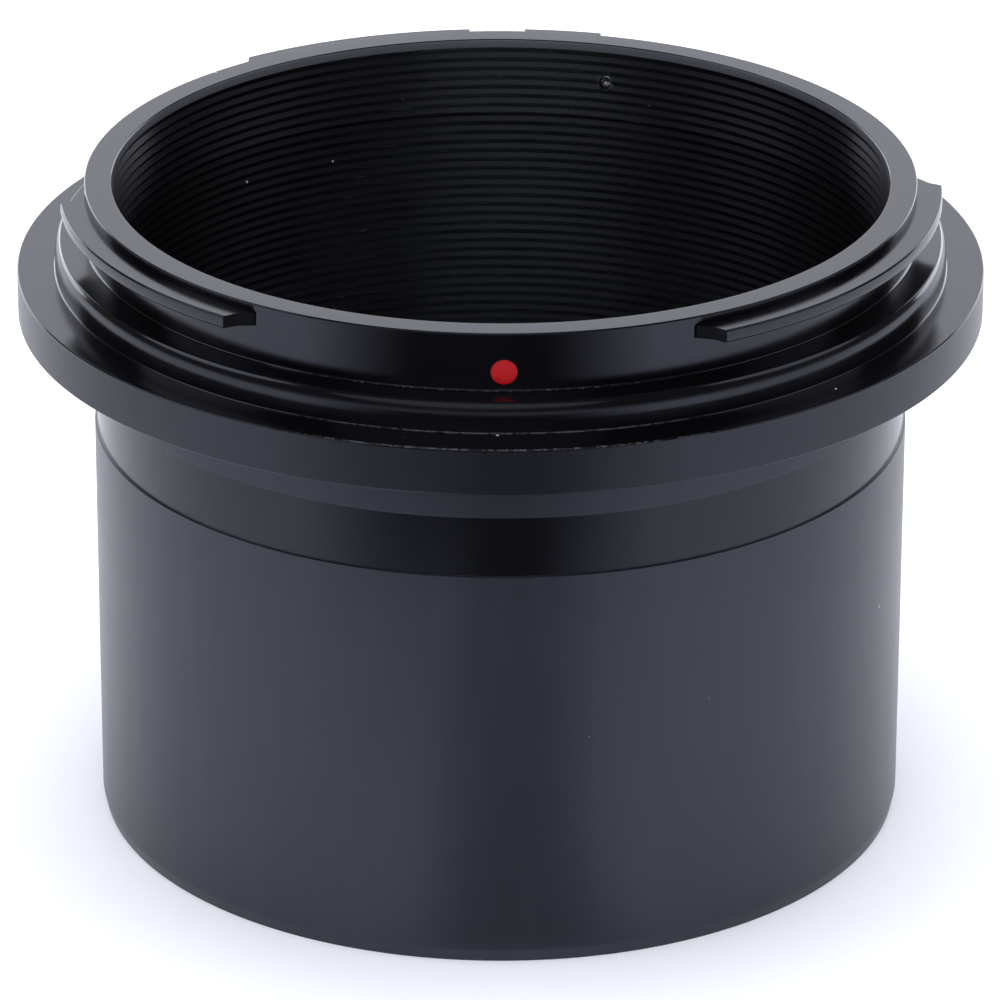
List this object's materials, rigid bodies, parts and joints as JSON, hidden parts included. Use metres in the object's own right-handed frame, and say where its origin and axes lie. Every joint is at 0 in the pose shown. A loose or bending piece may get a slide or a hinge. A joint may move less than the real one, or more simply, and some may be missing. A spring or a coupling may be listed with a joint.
{
  "type": "barlow lens",
  "caption": "Push-in 2 inch barlow lens: black barrel with a flange, a three-lug camera bayonet with index dot, a ridged bore and a screw-in negative lens cell.",
  "frame": {"origin": "centre of the nose's flat end face, the lowest plane of the part", "axes": "+Z along the optical axis from the nose (sky end) up to the camera bayonet; -Y is the side with the red index dot; +X completes a right-handed frame"},
  "size_m": [0.06, 0.06, 0.0416],
  "materials": {
    "anodised_gloss": "bright-cut black anodised, glossy",
    "anodised_satin": "fine-turned black anodised, satin",
    "anodised_matt": "blackened, matt",
    "index_paint": "red enamel fill",
    "pin_steel": "ground",
    "seal_rubber": "matt",
    "coated_glass": "polished, antireflection coated"
  },
  "bodies": {
    "nosepiece": {"bayonet_mount": "anodised_gloss", "nosepiece_barrel": "anodised_satin", "index_dot": "index_paint", "stop_pin": "pin_steel"},
    "optics": {"crown_lens": "coated_glass", "flint_lens": "coated_glass", "lens_spacer": "anodised_matt", "cell_seal": "seal_rubber"},
    "cell": {"cell_housing": "anodised_matt", "retaining_ring": "anodised_matt"}
  },
  "joints": [
    {"name": "cell_advance", "type": "slide", "parent": "nosepiece", "child": "optics", "axis": [0, 0, -1], "range_m": [0, 0.00825]},
    {"name": "cell_turn", "type": "hinge", "parent": "optics", "child": "cell", "pos_m": [0, 0, 0.0105], "axis": [0, 0, -1], "range_deg": [0, 3960]}
  ],
  "couplings": [
    {"joint": "cell_turn", "follows": "cell_advance", "rad_per_m": 8377.6}
  ]
}
